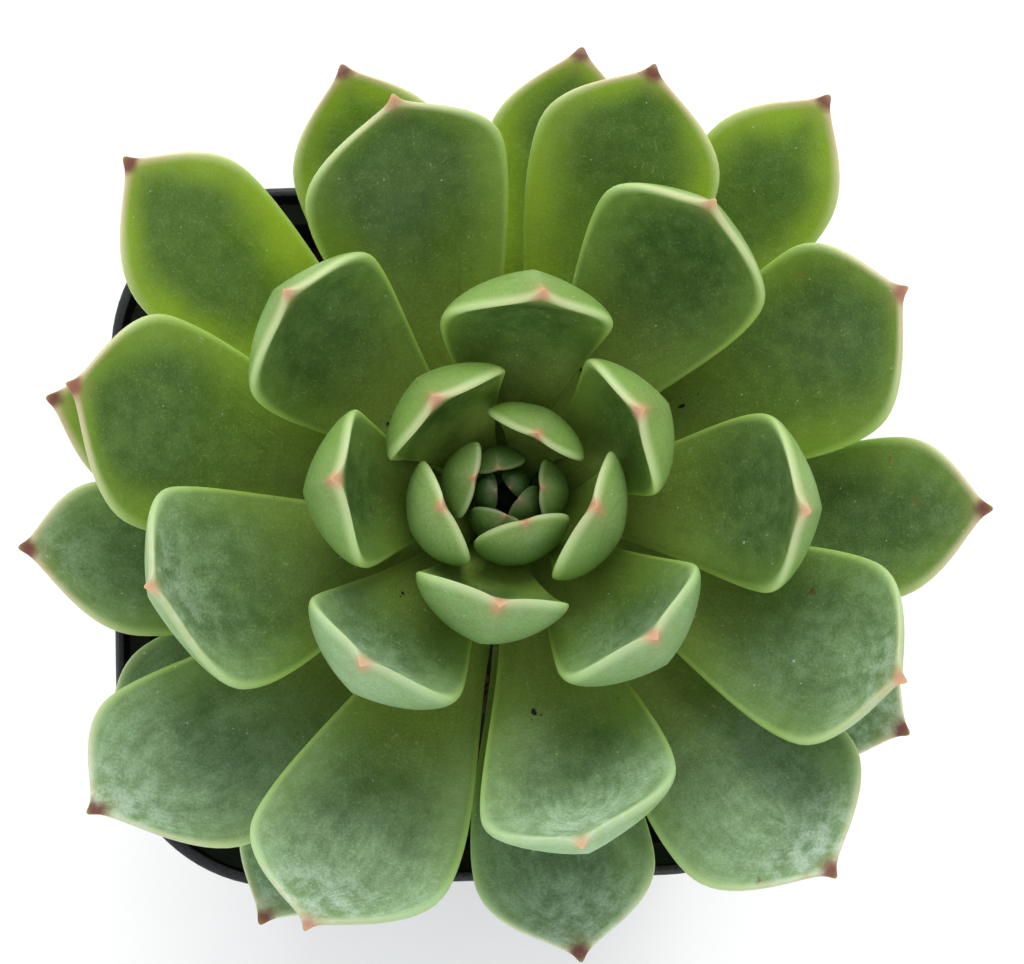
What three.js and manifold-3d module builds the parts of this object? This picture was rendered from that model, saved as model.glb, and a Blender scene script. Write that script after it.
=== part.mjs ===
// A rosette succulent in a square nursery pot: a thin tapered pot, its potting mix, the short stem that
// stands in the mix, and 44 fleshy leaves set round the stem on one spiral. Millimetres, +Z up. The origin
// is the centre of the pot's underside, where it stands.
import * as THREE from "three";
import { mergeVertices } from "three/addons/utils/BufferGeometryUtils.js";
import Module from "manifold-3d";

const wasm = await Module();
wasm.setup();

// ---- driving dimensions -------------------------------------------------------------------------

const POT = {
  side: 90, // over the rim
  height: 80,
  baseSide: 64, // at the underside
  wall: 1.2,
  floor: 1.6,
  footRound: 1.5, // height of the slant round the foot
  rimReach: 2.2, // how far the band under the rim stands out from the tapered wall
  rimDepth: 6, // height of the band
  rimSlant: 0.4, // the outer edge of the rim is cut off this much
  cornerRadius: 21, // at the rim; it shrinks with the side towards the foot
  cornerSteps: 7,
  grooveRadius: 19, // the groove in the underside that the drain holes open into
  grooveWidth: 12,
  grooveDepth: 1.4,
  drainRadius: 3.6,
  drainCount: 8,
};

const CLEARANCE = 0.3; // between pieces that touch

const SOIL = {
  belowRim: 13, // level of the mix under the top of the rim
  mound: 2.5, // how much it rises to the stem
  moundShape: [[0.75, 0.35], [0.35, 0.85]], // shares of the half side, and of the rise there
};

const PLANT = {
  x: 5.3, // the stem stands a little off the middle of the pot
  y: 1.0,
  rootDepth: 26, // length of the stem in the mix
  neckRadius: 4.6,
  rootTip: 1.6,
  crownRadius: 1.3,
  lowestLeaf: -4, // height of the oldest leaf's seat above the rim
  neckBelow: 2, // from the oldest leaf's seat down to the widest place of the stem
  crownAbove: 0.6, // from the youngest leaf's seat up to the crown
  crownDome: 0.5,
  taper: 2.2, // how late the stem narrows towards the crown
};

// The spiral: leaf 0 is the youngest. Each next leaf is older, one turn of DIVERGENCE further round.
const FIRST_AZIMUTH = 37;
const DIVERGENCE = 138;

// How a leaf changes with age. Between the stops the values run in straight lines.
// age: leaf number; rise: height of its seat over the next older one; tip: height of its tip above the
// rim; curl: how many degrees it turns up from the stem to the tip; bend: where along the leaf the turn
// starts; thick: greatest thickness; cup: how far the edges stand above the middle.
const AGES = [
  { age: 0, rise: 0.35, tip: 28.5, curl: 70, bend: 0.1, thick: 1.3, cup: 0.2 },
  { age: 5, rise: 0.42, tip: 31, curl: 78, bend: 0.1, thick: 1.9, cup: 0.4 },
  { age: 8, rise: 0.45, tip: 35, curl: 67, bend: 0.15, thick: 2.7, cup: 0.8 },
  { age: 11, rise: 0.5, tip: 38.5, curl: 46, bend: 0.3, thick: 4.6, cup: 1.7 },
  { age: 14, rise: 0.62, tip: 41, curl: 42, bend: 0.4, thick: 5.8, cup: 1.7 },
  { age: 18, rise: 0.68, tip: 42, curl: 48, bend: 0.45, thick: 5.8, cup: 1.4 },
  { age: 22, rise: 0.7, tip: 39.5, curl: 42, bend: 0.5, thick: 5.4, cup: 1.2 },
  { age: 26, rise: 0.7, tip: 33.5, curl: 26, bend: 0.5, thick: 5.0, cup: 1.1 },
  { age: 30, rise: 0.75, tip: 26.5, curl: 18, bend: 0.5, thick: 4.6, cup: 1.0 },
  { age: 36, rise: 0.75, tip: 17, curl: 12, bend: 0.5, thick: 4.2, cup: 0.8 },
  { age: 43, rise: 0.75, tip: 8.5, curl: 8, bend: 0.5, thick: 3.8, cup: 0.7 },
];

// Each leaf's own size, youngest first: [turn off the spiral in degrees, reach of the tip from the
// stem's middle, width, how far the tip leans aside].
const LEAVES = [
  [0, 0.5, 4.2, 0],
  [6, 1, 4.8, 0],
  [8, 1.8, 5.4, 0],
  [8, 2.5, 6.4, 0.5],
  [16, 2.8, 6.9, 1.4],
  [-8, 4.2, 7.4, 0],
  [20, 3.8, 9.3, -0.2],
  [0, 4.7, 11.6, 1.2],
  [0, 7, 12.6, -0.6],
  [4, 7.9, 13.2, -0.6],
  [-4, 10.8, 16.2, 1.9],
  [11, 12.8, 17.1, 0.6],
  [3, 14.4, 18, 2.5],
  [-6, 17.8, 17.6, 0],
  [12, 19.8, 18.4, -0.8],
  [2, 25.2, 20.2, 1],
  [0, 21.9, 20, -3.2],
  [10, 27, 20.5, -1],
  [-3.5, 34.7, 21, -3.6],
  [0, 33.4, 21.8, -0.7],
  [6.5, 42.7, 23.4, -2.7],
  [-3.5, 40.6, 23.3, 0],
  [6, 42.8, 25.4, -3],
  [1.3, 51.2, 23.5, -0.8],
  [-1.1, 47.7, 25.3, -3],
  [-0.6, 56, 24.4, -2.2],
  [-3, 52.7, 24.3, 2.4],
  [5.3, 53, 25.8, -3.2],
  [7.4, 59.3, 25.4, 0],
  [-11, 54.8, 23.5, 1],
  [5, 61.6, 24.7, -6.6],
  [-1, 58.1, 20, 2.5],
  [7, 62.2, 21.4, -3.8],
  [6, 56, 22, 0.4],
  [0.1, 64, 19, 0.6],
  [2.6, 59.1, 19.6, -6],
  [2.8, 56.4, 20, 0.3],
  [7.6, 58.8, 20.3, -2],
  [-3, 59.1, 18, 0],
  [0, 46, 18, 0],
  [7.8, 58.8, 18, 0],
  [7, 42, 14, 0],
  [8, 59.8, 19, -2.2],
  [0, 59, 21, 0],
];

// The outline and thickness that every leaf shares, as shares of its length (0 stem, 1 tip).
const LEAF = {
  seatWidth: 0.25, // width at the stem as a share of the greatest width
  widest: 0.76,
  flare: 1.8, // how late the leaf widens
  point: [2.6, 1.25], // how the outline closes to the tip
  thickest: 0.65,
  seatThickness: 0.38,
  tipThinning: [2, 0.8], // how the thickness closes to the tip
  faceRise: 0.1, // how far the upper face bulges, as a share of the thickness
  stations: [0, 0, 0.16, 0.32, 0.48, 0.62, 0.74, 0.84, 0.92, 0.97, 1], // the seat is flat, so 0 comes twice
  around: 10,
};

// ---- small helpers ------------------------------------------------------------------------------

const radians = (degrees) => (degrees * Math.PI) / 180;

// Falls from 1 to 0 as u runs from start to 1, slowly at first.
function closing(u, start, [late, soft]) {
  return Math.max(0, 1 - ((u - start) / (1 - start)) ** late) ** soft;
}

// A value that runs in straight lines between the stops of AGES.
function atAge(key, age) {
  const next = AGES.findIndex((stop) => stop.age >= age);
  if (next <= 0) return AGES[0][key];
  const [a, b] = [AGES[next - 1], AGES[next]];
  return a[key] + ((b[key] - a[key]) * (age - a.age)) / (b.age - a.age);
}

function solidOf(geometry) {
  const bare = geometry.clone();
  bare.deleteAttribute("normal");
  bare.deleteAttribute("uv");
  const merged = mergeVertices(bare, 1e-4);
  return new wasm.Manifold(
    new wasm.Mesh({
      numProp: 3,
      vertProperties: merged.attributes.position.array,
      triVerts: new Uint32Array(merged.index.array),
    }),
  );
}

function geometryOf(solid) {
  const mesh = solid.getMesh();
  return new THREE.BufferGeometry()
    .setAttribute("position", new THREE.BufferAttribute(mesh.vertProperties, 3))
    .setIndex(new THREE.BufferAttribute(mesh.triVerts, 1));
}

// Moves every point of a geometry to where place(uv.x, uv.y, point) puts it.
function reshape(geometry, place) {
  const { position, uv } = geometry.attributes;
  const point = new THREE.Vector3();
  for (let i = 0; i < position.count; i++) {
    point.fromBufferAttribute(position, i);
    const moved = place(uv.getX(i), uv.getY(i), point);
    position.setXYZ(i, moved.x, moved.y, moved.z);
  }
  return geometry;
}

// ---- the pot and its mix ------------------------------------------------------------------------

// Outline of a square with round corners whose half side is 1, as a closed list of points.
function squareOutline() {
  const points = [];
  for (let corner = 0; corner < 4; corner++) {
    for (let step = 0; step <= POT.cornerSteps; step++) {
      const turn = (step / POT.cornerSteps) * (Math.PI / 2);
      const point = new THREE.Vector2(Math.cos(turn), Math.sin(turn)).multiplyScalar(cornerShare);
      point.addScalar(1 - cornerShare);
      points.push(point.rotateAround(ORIGIN, corner * (Math.PI / 2)));
    }
  }
  return points;
}

const ORIGIN = new THREE.Vector2();
const rimHalf = POT.side / 2;
const cornerShare = POT.cornerRadius / rimHalf;
const OUTLINE = squareOutline();
// Where the outline lies in the middle of a side, and at the corner that follows it.
const cornerReach = 1 - cornerShare + cornerShare * Math.SQRT1_2;
const OUTLINE_AT = [new THREE.Vector2(1, 0), new THREE.Vector2(cornerReach, cornerReach)];

// Turns a profile of [half side, height] pairs into a body with a rounded square section.
function squareBody(profile) {
  const points = profile.map(([half, height]) => new THREE.Vector2(half, height));
  const lathe = new THREE.LatheGeometry(points, OUTLINE.length);
  return reshape(lathe, (round, along, point) => {
    const half = points[Math.round(along * (points.length - 1))].x;
    const place = OUTLINE[Math.round(round * OUTLINE.length) % OUTLINE.length];
    return new THREE.Vector3(place.x * half, place.y * half, point.y);
  });
}

const bandFoot = POT.height - POT.rimDepth;
const floorTop = POT.floor + POT.grooveDepth;

// Half the outer side of the tapered wall at a height.
function wallAt(z) {
  const foot = POT.baseSide / 2;
  return foot + ((rimHalf - POT.rimReach - foot) * z) / POT.height;
}

function potGeometry() {
  const { wall, height, footRound, rimSlant, grooveRadius, grooveWidth, grooveDepth, drainRadius } = POT;
  const grooveIn = grooveRadius - grooveWidth / 2;
  const grooveOut = grooveRadius + grooveWidth / 2;
  const shelf = bandFoot + wall;
  const profile = [
    [0, 0],
    [grooveIn, 0],
    [grooveIn + grooveDepth, grooveDepth],
    [grooveOut - grooveDepth, grooveDepth],
    [grooveOut, 0],
    [wallAt(0) - footRound, 0],
    [wallAt(footRound), footRound],
    [wallAt(bandFoot), bandFoot],
    [rimHalf, bandFoot],
    [rimHalf, height - rimSlant],
    [rimHalf - rimSlant, height],
    [rimHalf - wall, height],
    [rimHalf - wall, shelf],
    [wallAt(shelf) - wall, shelf],
    [wallAt(floorTop) - wall, floorTop],
    [0, floorTop],
  ];
  let pot = solidOf(squareBody(profile));
  for (let i = 0; i < POT.drainCount; i++) {
    const place = OUTLINE_AT[i % 2].clone().multiplyScalar(grooveRadius);
    place.rotateAround(ORIGIN, Math.floor(i / 2) * (Math.PI / 2));
    const hole = new THREE.CylinderGeometry(drainRadius, drainRadius, 2 * floorTop, 16);
    hole.rotateX(Math.PI / 2);
    hole.translate(place.x, place.y, floorTop);
    pot = pot.subtract(solidOf(hole));
  }
  return geometryOf(pot);
}

const soilTop = POT.height - SOIL.belowRim;

function soilGeometry(stemHole) {
  const bottom = floorTop + CLEARANCE;
  const sideAt = (z) => wallAt(z) - POT.wall - CLEARANCE;
  const mix = squareBody([
    [0, bottom],
    [sideAt(bottom), bottom],
    [sideAt(soilTop), soilTop],
    ...SOIL.moundShape.map(([out, rise]) => [sideAt(soilTop) * out, soilTop + rise * SOIL.mound]),
    [0, soilTop + SOIL.mound],
  ]);
  return geometryOf(solidOf(mix).subtract(stemHole));
}

// ---- the stem -----------------------------------------------------------------------------------

// Heights of the leaf seats, youngest first.
function seatHeights() {
  const heights = new Array(LEAVES.length);
  let z = POT.height + PLANT.lowestLeaf;
  for (let n = LEAVES.length - 1; n >= 0; n--) {
    heights[n] = z;
    z += atAge("rise", n);
  }
  return heights;
}

const SEATS = seatHeights();
const stemFoot = soilTop + SOIL.mound - PLANT.rootDepth;
const neck = SEATS[LEAVES.length - 1] - PLANT.neckBelow;
const crown = SEATS[0] + PLANT.crownAbove;

// Radius of the stem at a height: a root that widens to the neck, then a slow taper to the crown.
function stemRadius(z) {
  if (z <= neck) {
    const share = Math.max(0, (z - stemFoot) / (neck - stemFoot));
    return PLANT.rootTip + (PLANT.neckRadius - PLANT.rootTip) * Math.sqrt(share);
  }
  const share = Math.min(1, (z - neck) / (crown - neck));
  return PLANT.crownRadius + (PLANT.neckRadius - PLANT.crownRadius) * (1 - share ** PLANT.taper);
}

function stemGeometry(grow = 0) {
  const points = [new THREE.Vector2(0, stemFoot - grow)];
  const steps = 14;
  for (let i = 0; i <= steps; i++) {
    const z = stemFoot + ((crown - stemFoot) * i) / steps;
    points.push(new THREE.Vector2(stemRadius(z) + grow, i === 0 ? z - grow : z));
  }
  points.push(new THREE.Vector2(0, crown + PLANT.crownDome + grow));
  const stem = new THREE.LatheGeometry(points, 16);
  stem.rotateX(Math.PI / 2);
  stem.translate(PLANT.x, PLANT.y, 0);
  return stem;
}

// ---- a leaf -------------------------------------------------------------------------------------

// Half width of a leaf along its length, as a share of its greatest half width.
function outlineAt(u) {
  const { seatWidth, widest, flare, point } = LEAF;
  if (u > widest) return closing(u, widest, point);
  return seatWidth + (1 - seatWidth) * Math.sin((Math.PI / 2) * (u / widest) ** flare);
}

// Thickness of a leaf along its length, as a share of its greatest thickness.
function thicknessAt(u) {
  const { seatThickness, thickest, tipThinning } = LEAF;
  if (u > thickest) return closing(u, thickest, tipThinning);
  return seatThickness + (1 - seatThickness) * Math.sin((Math.PI / 2) * (u / thickest));
}

// The middle line of a leaf from its seat to its tip, out by `out` and up by `up`: points and slopes at
// each of the shares of its length.
function middleLine(age, out, up, shares) {
  const curl = radians(atAge("curl", age));
  const slopeAt = (u) => curl * THREE.MathUtils.smoothstep(u, atAge("bend", age), 1);
  const steps = 200;
  const line = [new THREE.Vector2()];
  for (let i = 1; i <= steps; i++) {
    const slope = slopeAt((i - 0.5) / steps);
    line.push(new THREE.Vector2(Math.cos(slope), Math.sin(slope)).divideScalar(steps).add(line[i - 1]));
  }
  const chord = line[steps];
  const tilt = Math.atan2(up, out) - chord.angle();
  const length = Math.hypot(up, out) / chord.length();
  return shares.map((u) => {
    const point = line[Math.round(u * steps)].clone().multiplyScalar(length);
    point.rotateAround(ORIGIN, tilt);
    return { x: point.x, z: point.y, slope: tilt + slopeAt(u) };
  });
}

function leafGeometry(age) {
  const [turn, tipReach, width, lean] = LEAVES[age];
  const thick = atAge("thick", age);
  const cup = atAge("cup", age);
  const seatZ = SEATS[age];
  const seatR = stemRadius(seatZ) + CLEARANCE;
  const shares = LEAF.stations;
  const stops = middleLine(age, tipReach - seatR, POT.height + atAge("tip", age) - seatZ, shares);
  const sphere = new THREE.SphereGeometry(1, LEAF.around, shares.length - 1);
  const azimuth = radians(FIRST_AZIMUTH + DIVERGENCE * age + turn);
  return reshape(sphere, (round, along) => {
    const station = Math.round((1 - along) * (shares.length - 1));
    const pole = station === 0 || station === shares.length - 1;
    const u = shares[station];
    const { x, z, slope } = stops[station];
    const across = Math.cos(round * 2 * Math.PI);
    const lift = -Math.sin(round * 2 * Math.PI);
    const half = (width / 2) * outlineAt(u);
    const edgeRise = cup * Math.min(1, u / LEAF.widest) * outlineAt(u);
    const depth = thick * thicknessAt(u);
    const side = pole ? lean * u ** 3 : half * across + lean * u ** 3;
    const bulge = lift > 0 ? LEAF.faceRise * depth * lift : depth * lift;
    const off = pole ? 0 : edgeRise * across ** 2 + bulge;
    const radial = seatR + x - off * Math.sin(slope);
    return new THREE.Vector3(
      PLANT.x + radial * Math.cos(azimuth) - side * Math.sin(azimuth),
      PLANT.y + radial * Math.sin(azimuth) + side * Math.cos(azimuth),
      seatZ + z + off * Math.cos(slope),
    );
  });
}

// ---- the object ---------------------------------------------------------------------------------

const COLOURS = {
  pot: { color: 0x0b0c0f, roughness: 0.45 },
  soil: { color: 0x17120d, roughness: 0.95 },
  stem: { color: 0x6f7a3c, roughness: 0.6 },
  leaf: { color: 0x4d7a34, roughness: 0.5 },
};

function named(name, geometry, look) {
  const material = new THREE.MeshStandardMaterial({ ...COLOURS[look], metalness: 0 });
  const mesh = new THREE.Mesh(geometry, material);
  mesh.name = name;
  return mesh;
}

// Names by age: the tight heart, the upright inner leaves, the large middle ones and the oldest, outermost.
const WHORLS = [
  { name: "heart_leaf", from: 0 },
  { name: "inner_leaf", from: 10 },
  { name: "middle_leaf", from: 20 },
  { name: "outer_leaf", from: 31 },
];

function leafName(age) {
  const whorl = WHORLS.findLast((w) => w.from <= age);
  return `${whorl.name}_${String(age - whorl.from + 1).padStart(2, "0")}`;
}

const plant = new THREE.Group();
plant.add(named("pot", potGeometry(), "pot"));
plant.add(named("potting_mix", soilGeometry(solidOf(stemGeometry(CLEARANCE))), "soil"));
plant.add(named("stem", stemGeometry(), "stem"));
LEAVES.forEach((_, age) => plant.add(named(leafName(age), leafGeometry(age), "leaf")));

export default plant;
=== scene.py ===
"""A rosette succulent in a square nursery pot, as it looks. Sizes here are in millimetres, as in the part's
own source, and become metres when a mesh is placed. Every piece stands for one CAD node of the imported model,
apart from the loose bits on the potting mix and on the leaves."""

import math
import random

import bmesh
import bpy
from mathutils import Matrix, Vector, noise


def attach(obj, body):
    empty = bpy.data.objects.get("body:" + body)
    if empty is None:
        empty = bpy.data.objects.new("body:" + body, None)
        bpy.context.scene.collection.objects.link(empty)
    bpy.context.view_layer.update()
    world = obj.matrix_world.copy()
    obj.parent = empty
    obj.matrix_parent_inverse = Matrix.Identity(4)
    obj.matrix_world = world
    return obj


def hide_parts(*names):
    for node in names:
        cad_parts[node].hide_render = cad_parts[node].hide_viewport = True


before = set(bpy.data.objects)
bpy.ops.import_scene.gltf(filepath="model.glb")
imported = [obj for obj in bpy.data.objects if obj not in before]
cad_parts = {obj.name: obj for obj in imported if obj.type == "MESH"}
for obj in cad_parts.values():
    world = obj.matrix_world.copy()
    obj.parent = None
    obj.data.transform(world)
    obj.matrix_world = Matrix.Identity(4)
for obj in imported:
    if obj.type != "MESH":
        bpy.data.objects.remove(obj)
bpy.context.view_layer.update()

MM = 0.001

# Vertices closer together than this many millimetres are one.
MERGE = 1e-4

# ---- sizes that the looks share with the part ---------------------------------------------------

POT = {
    "side": 90,
    "height": 80,
    "base_side": 64,
    "wall": 1.2,
    "floor": 1.6,
    "foot_round": 1.5,
    "rim_reach": 2.2,
    "rim_depth": 6,
    "rim_slant": 0.4,
    "corner_radius": 21,
    "corner_steps": 20,
    "groove_radius": 19,
    "groove_width": 12,
    "groove_depth": 1.4,
    "edge_round": 0.22,
    "drain_radius": 3.6,
    "drain_count": 8,
}
CLEARANCE = 0.3
SOIL = {"below_rim": 13, "mound": 2.5, "lump_size": 7, "lump_height": 0.8}
PLANT = {
    "x": 5.3,
    "y": 1.0,
    "root_depth": 26,
    "neck_radius": 4.6,
    "root_tip": 1.6,
    "crown_radius": 1.3,
    "lowest_leaf": -4,
    "neck_below": 2,
    "crown_above": 0.6,
    "crown_dome": 0.5,
    "taper": 2.2,
}
FIRST_AZIMUTH = 37
DIVERGENCE = 138

# How a leaf changes with age, in straight lines between these stops: (age, rise of its seat over the next
# older one, height of its tip over the rim, curl in degrees, where the curl starts, thickness, cup).
AGES = [
    (0, 0.35, 28.5, 70, 0.1, 1.3, 0.2),
    (5, 0.42, 31, 78, 0.1, 1.9, 0.4),
    (8, 0.45, 35, 67, 0.15, 2.7, 0.8),
    (11, 0.5, 38.5, 46, 0.3, 4.6, 1.7),
    (14, 0.62, 41, 42, 0.4, 5.8, 1.7),
    (18, 0.68, 42, 48, 0.45, 5.8, 1.4),
    (22, 0.7, 39.5, 42, 0.5, 5.4, 1.2),
    (26, 0.7, 33.5, 26, 0.5, 5.0, 1.1),
    (30, 0.75, 26.5, 18, 0.5, 4.6, 1.0),
    (36, 0.75, 17, 12, 0.5, 4.2, 0.8),
    (43, 0.75, 8.5, 8, 0.5, 3.8, 0.7),
]
RISE, TIP, CURL, BEND, THICK, CUP = range(1, 7)

# Each leaf's own size, youngest first: (turn off the spiral in degrees, reach, width, lean aside).
LEAVES = [
    (0, 0.5, 4.2, 0),
    (6, 1, 4.8, 0),
    (8, 1.8, 5.4, 0),
    (8, 2.5, 6.4, 0.5),
    (16, 2.8, 6.9, 1.4),
    (-8, 4.2, 7.4, 0),
    (20, 3.8, 9.3, -0.2),
    (0, 4.7, 11.6, 1.2),
    (0, 7, 12.6, -0.6),
    (4, 7.9, 13.2, -0.6),
    (-4, 10.8, 16.2, 1.9),
    (11, 12.8, 17.1, 0.6),
    (3, 14.4, 18, 2.5),
    (-6, 17.8, 17.6, 0),
    (12, 19.8, 18.4, -0.8),
    (2, 25.2, 20.2, 1),
    (0, 21.9, 20, -3.2),
    (10, 27, 20.5, -1),
    (-3.5, 34.7, 21, -3.6),
    (0, 33.4, 21.8, -0.7),
    (6.5, 42.7, 23.4, -2.7),
    (-3.5, 40.6, 23.3, 0),
    (6, 42.8, 25.4, -3),
    (1.3, 51.2, 23.5, -0.8),
    (-1.1, 47.7, 25.3, -3),
    (-0.6, 56, 24.4, -2.2),
    (-3, 52.7, 24.3, 2.4),
    (5.3, 53, 25.8, -3.2),
    (7.4, 59.3, 25.4, 0),
    (-11, 54.8, 23.5, 1),
    (5, 61.6, 24.7, -6.6),
    (-1, 58.1, 20, 2.5),
    (7, 62.2, 21.4, -3.8),
    (6, 56, 22, 0.4),
    (0.1, 64, 19, 0.6),
    (2.6, 59.1, 19.6, -6),
    (2.8, 56.4, 20, 0.3),
    (7.6, 58.8, 20.3, -2),
    (-3, 59.1, 18, 0),
    (0, 46, 18, 0),
    (7.8, 58.8, 18, 0),
    (7, 42, 14, 0),
    (8, 59.8, 19, -2.2),
    (0, 59, 21, 0),
]
OLDEST = len(LEAVES) - 1

LEAF = {
    "seat_width": 0.25,
    "widest": 0.76,
    "flare": 1.8,
    "thickest": 0.65,
    "seat_thickness": 0.38,
    "tip_thinning": (2, 0.8),
    "face_rise": 0.1,
    "rows": 64,
    "around": 56,
}

# What only the looks have: how the outline closes to the tip, the rounded margin, the keel under the tip,
# the blunt nib at its end and the hook inwards before it, slight dents in the flesh, and how far the leaf's
# foot reaches over the gap to the stem.
FLESH = {
    "point": (2.5, 1.38),
    "margin_radius": 0.45,
    "margin_rise": 0.3,
    "keel": 0.62,
    "keel_from": 0.5,
    "nib_radius": 0.7,
    "nib_growth": 0.25,
    "nib_length": 2.0,
    "hook": 0.75,
    "hook_length": 1.5,
    "dent": 0.22,
    "dent_size": 9,
    "foot_reach": 0.7,
}

# Which way the side with the most bloom and painted sheen faces, in degrees.
BLOOM_AND_SHEEN_SIDE = 266

# Where a mark or a crumb lies: this far up the rounded section of a leaf, which is on its upper face.
ON_FACE = 0.9

# The ring-shaped scars that fallen leaves left on the stem, each a swollen rim round a dip.
STEM_SCARS = {
    "count": 12,
    "half_width": 2.0,
    "half_height": 0.8,
    "rim": 0.35,
    "rim_at": 0.9,
    "rim_spread": 0.08,
    "dip": 0.12,
    "dip_spread": 0.3,
}
STEM_BARK = {"relief": 0.12, "grain": 1.5}

# Bark chips that lie on the mix, partly sunk in it, how far they stay from the wall and the stem, and how
# far they go into the corners. After them, how rough a chip or a crumb is, as a share of its size.
CHIPS = {
    "count": 320,
    "size": (0.6, 1.9),
    "flatness": (0.35, 0.7),
    "stretch": (1, 1.8),
    "tilt": 0.5,
    "lift": 0.25,
    "apart": 3,
    "corner": 1.12,
}
ROUGHNESS = 0.2

# Old marks on single leaves: (age, share of the length, place across, radius in mm, colour).
SCARS = [
    (23, 0.66, 0.5, 0.6, (96, 48, 34)),
    (31, 0.83, 0.2, 0.7, (110, 100, 36)),
    (31, 0.77, 0.72, 0.45, (120, 100, 40)),
    (26, 0.78, 0.72, 0.45, (126, 118, 44)),
    (28, 0.9, -0.82, 0.5, (120, 84, 60)),
    (32, 0.6, 0.3, 0.35, (96, 92, 40)),
]

# Crumbs of peat on the leaves: (age, share of the length, place across, size in mm).
GRIT = [
    (24, 0.24, -0.1, 0.5),
    (22, 0.4, 0.55, 0.45),
    (20, 0.5, -0.33, 0.5),
    (21, 0.34, 0.3, 0.35),
    (23, 0.3, 0.2, 0.35),
    (19, 0.35, 0.4, 0.3),
    (16, 0.3, 0.5, 0.3),
    (17, 0.45, -0.4, 0.35),
    (14, 0.3, 0.2, 0.25),
    (26, 0.42, 0.3, 0.35),
]

# The whorls that the leaves are named for, each with its youngest leaf.
WHORLS = [("heart_leaf", 0), ("inner_leaf", 10), ("middle_leaf", 20), ("outer_leaf", 31)]


# ---- small helpers ------------------------------------------------------------------------------


def smooth(x, low, high):
    """0 below low, 1 above high, and an even curve between."""
    t = min(1, max(0, (x - low) / (high - low)))
    return t * t * (3 - 2 * t)


def closing(u, start, falls):
    """1 at the start and 0 at the end of a leaf. Falls are how late and how steeply it closes."""
    late, soft = falls
    return max(0, 1 - ((u - start) / (1 - start)) ** late) ** soft


def at_age(column, age):
    """A column of AGES, read between its stops."""
    for a, b in zip(AGES, AGES[1:]):
        if age <= b[0]:
            return a[column] + (b[column] - a[column]) * (age - a[0]) / (b[0] - a[0])
    return AGES[-1][column]


def leaf_name(age):
    name, first = [w for w in WHORLS if w[1] <= age][-1]
    return f"{name}_{age - first + 1:02d}"


def smoothed(mesh, sharp):
    """Shades a mesh smooth, apart from edges that turn by more than so many degrees."""
    mesh.shade_smooth()
    mesh.set_sharp_from_angle(angle=math.radians(sharp))


def finished(bm, name, material, nodes=(), sharp=35):
    """Turns a bmesh in millimetres into a piece that rides on the body and stands for the CAD nodes."""
    bmesh.ops.recalc_face_normals(bm, faces=bm.faces)
    bmesh.ops.scale(bm, vec=(MM, MM, MM), verts=bm.verts)
    mesh = bpy.data.meshes.new(name)
    bm.to_mesh(mesh)
    bm.free()
    mesh.materials.append(material)
    smoothed(mesh, sharp)
    piece = bpy.data.objects.new(name, mesh)
    bpy.context.scene.collection.objects.link(piece)
    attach(piece, "root")
    if nodes:
        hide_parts(*nodes)
    return piece


def spun(profile, steps):
    """Spins a profile of (radius, height) once round the upright axis."""
    bm = bmesh.new()
    line = [bm.verts.new((radius, 0, z)) for radius, z in profile]
    edges = [bm.edges.new(pair) for pair in zip(line, line[1:])]
    bmesh.ops.spin(
        bm,
        geom=line + edges,
        cent=(0, 0, 0),
        axis=(0, 0, 1),
        angle=math.tau,
        steps=steps,
        use_merge=True,
    )
    return bm


def rough_lump(bm, size, place, stretch, draw):
    """Adds a rough crumb to a bmesh, moved to its place after it is stretched."""
    made = bmesh.ops.create_icosphere(bm, subdivisions=1, radius=1, matrix=place @ stretch)
    for v in made["verts"]:
        v.co += Vector([draw.uniform(-ROUGHNESS, ROUGHNESS) * size for _ in range(3)])


# ---- materials ----------------------------------------------------------------------------------


def tone(red, green, blue):
    """A colour given as a paint maker would, 0 to 255, in the renderer's own terms."""

    def straight(c):
        c /= 255
        return c / 12.92 if c <= 0.04045 else ((c + 0.055) / 1.055) ** 2.4

    return (straight(red), straight(green), straight(blue), 1)


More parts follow.
